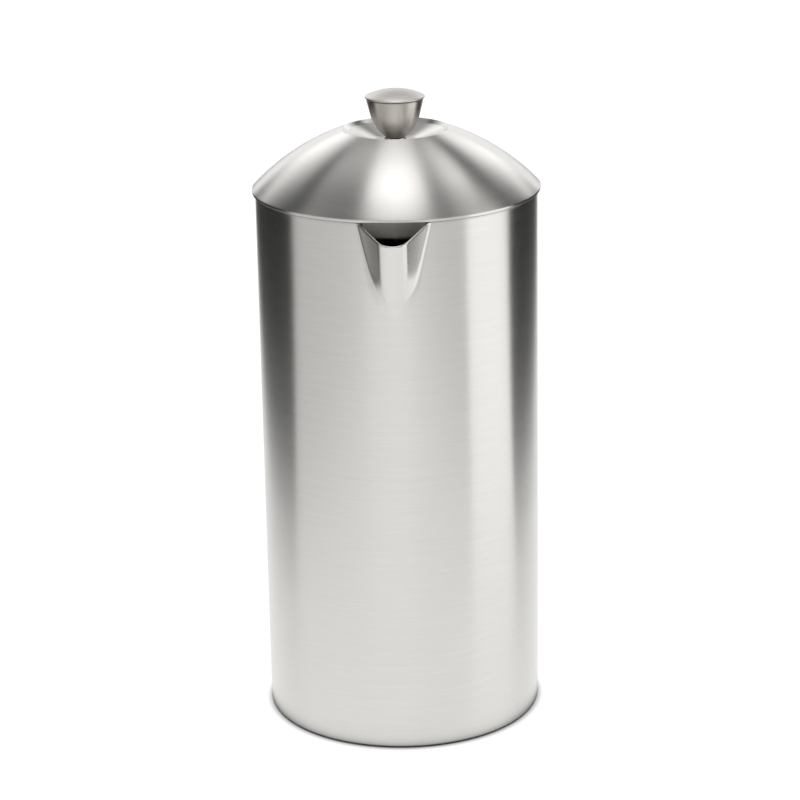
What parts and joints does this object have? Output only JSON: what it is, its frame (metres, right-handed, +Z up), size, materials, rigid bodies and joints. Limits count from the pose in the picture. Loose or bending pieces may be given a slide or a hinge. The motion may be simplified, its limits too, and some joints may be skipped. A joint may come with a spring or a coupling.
{
  "type": "french press",
  "caption": "Double-walled steel coffee press with a pressed spout, bent back handle, domed lid, and a knob and rod that drive a sprung mesh filter.",
  "frame": {"origin": "centre of the flat base, on the plane the press stands on", "axes": "+Z up along the vessel's axis, the spout points to -Y, the handle is on +Y, +X is to the right when the spout faces the viewer"},
  "size_m": [0.1042, 0.1606, 0.2345],
  "materials": {
    "brushed_shell": "stainless steel, fine brushing round the axis",
    "polished_steel": "polished stainless steel",
    "satin_liner": "satin stainless steel",
    "wire_mesh": "woven stainless steel wire cloth"
  },
  "bodies": {
    "carafe": {"outer_shell": "brushed_shell", "inner_liner": "satin_liner", "base_plate": "brushed_shell", "pouring_spout": "polished_steel", "handle_grip": "polished_steel", "handle_upper_pad": "polished_steel", "handle_lower_pad": "polished_steel"},
    "lid_bush": {"rod_bush": "polished_steel", "bush_washer": "satin_liner", "bush_nut": "satin_liner"},
    "lid_shell": {"lid_dome": "brushed_shell", "lid_collar": "satin_liner"},
    "plunger": {"plunger_rod": "polished_steel", "stop_washer": "satin_liner", "spring_plate": "satin_liner", "edge_spring": "satin_liner", "mesh_screen": "wire_mesh", "mesh_hem": "satin_liner", "cross_plate": "satin_liner", "hub_nut": "satin_liner"},
    "knob": {"knob_body": "brushed_shell", "knob_cap": "brushed_shell"}
  },
  "joints": [
    {"name": "lid_lift", "type": "slide", "parent": "carafe", "child": "lid_bush", "axis": [0, 0, 1], "range_m": [0, 0.19]},
    {"name": "lid_turn", "type": "hinge", "parent": "lid_bush", "child": "lid_shell", "pos_m": [0, 0, 0.1983], "axis": [0, 0, 1], "continuous": true},
    {"name": "plunger_press", "type": "slide", "parent": "lid_bush", "child": "plunger", "axis": [0, 0, 1], "range_m": [0, 0.163]},
    {"name": "knob_turn", "type": "hinge", "parent": "plunger", "child": "knob", "pos_m": [0, 0, 0.21765], "axis": [0, 0, 1], "continuous": true}
  ]
}
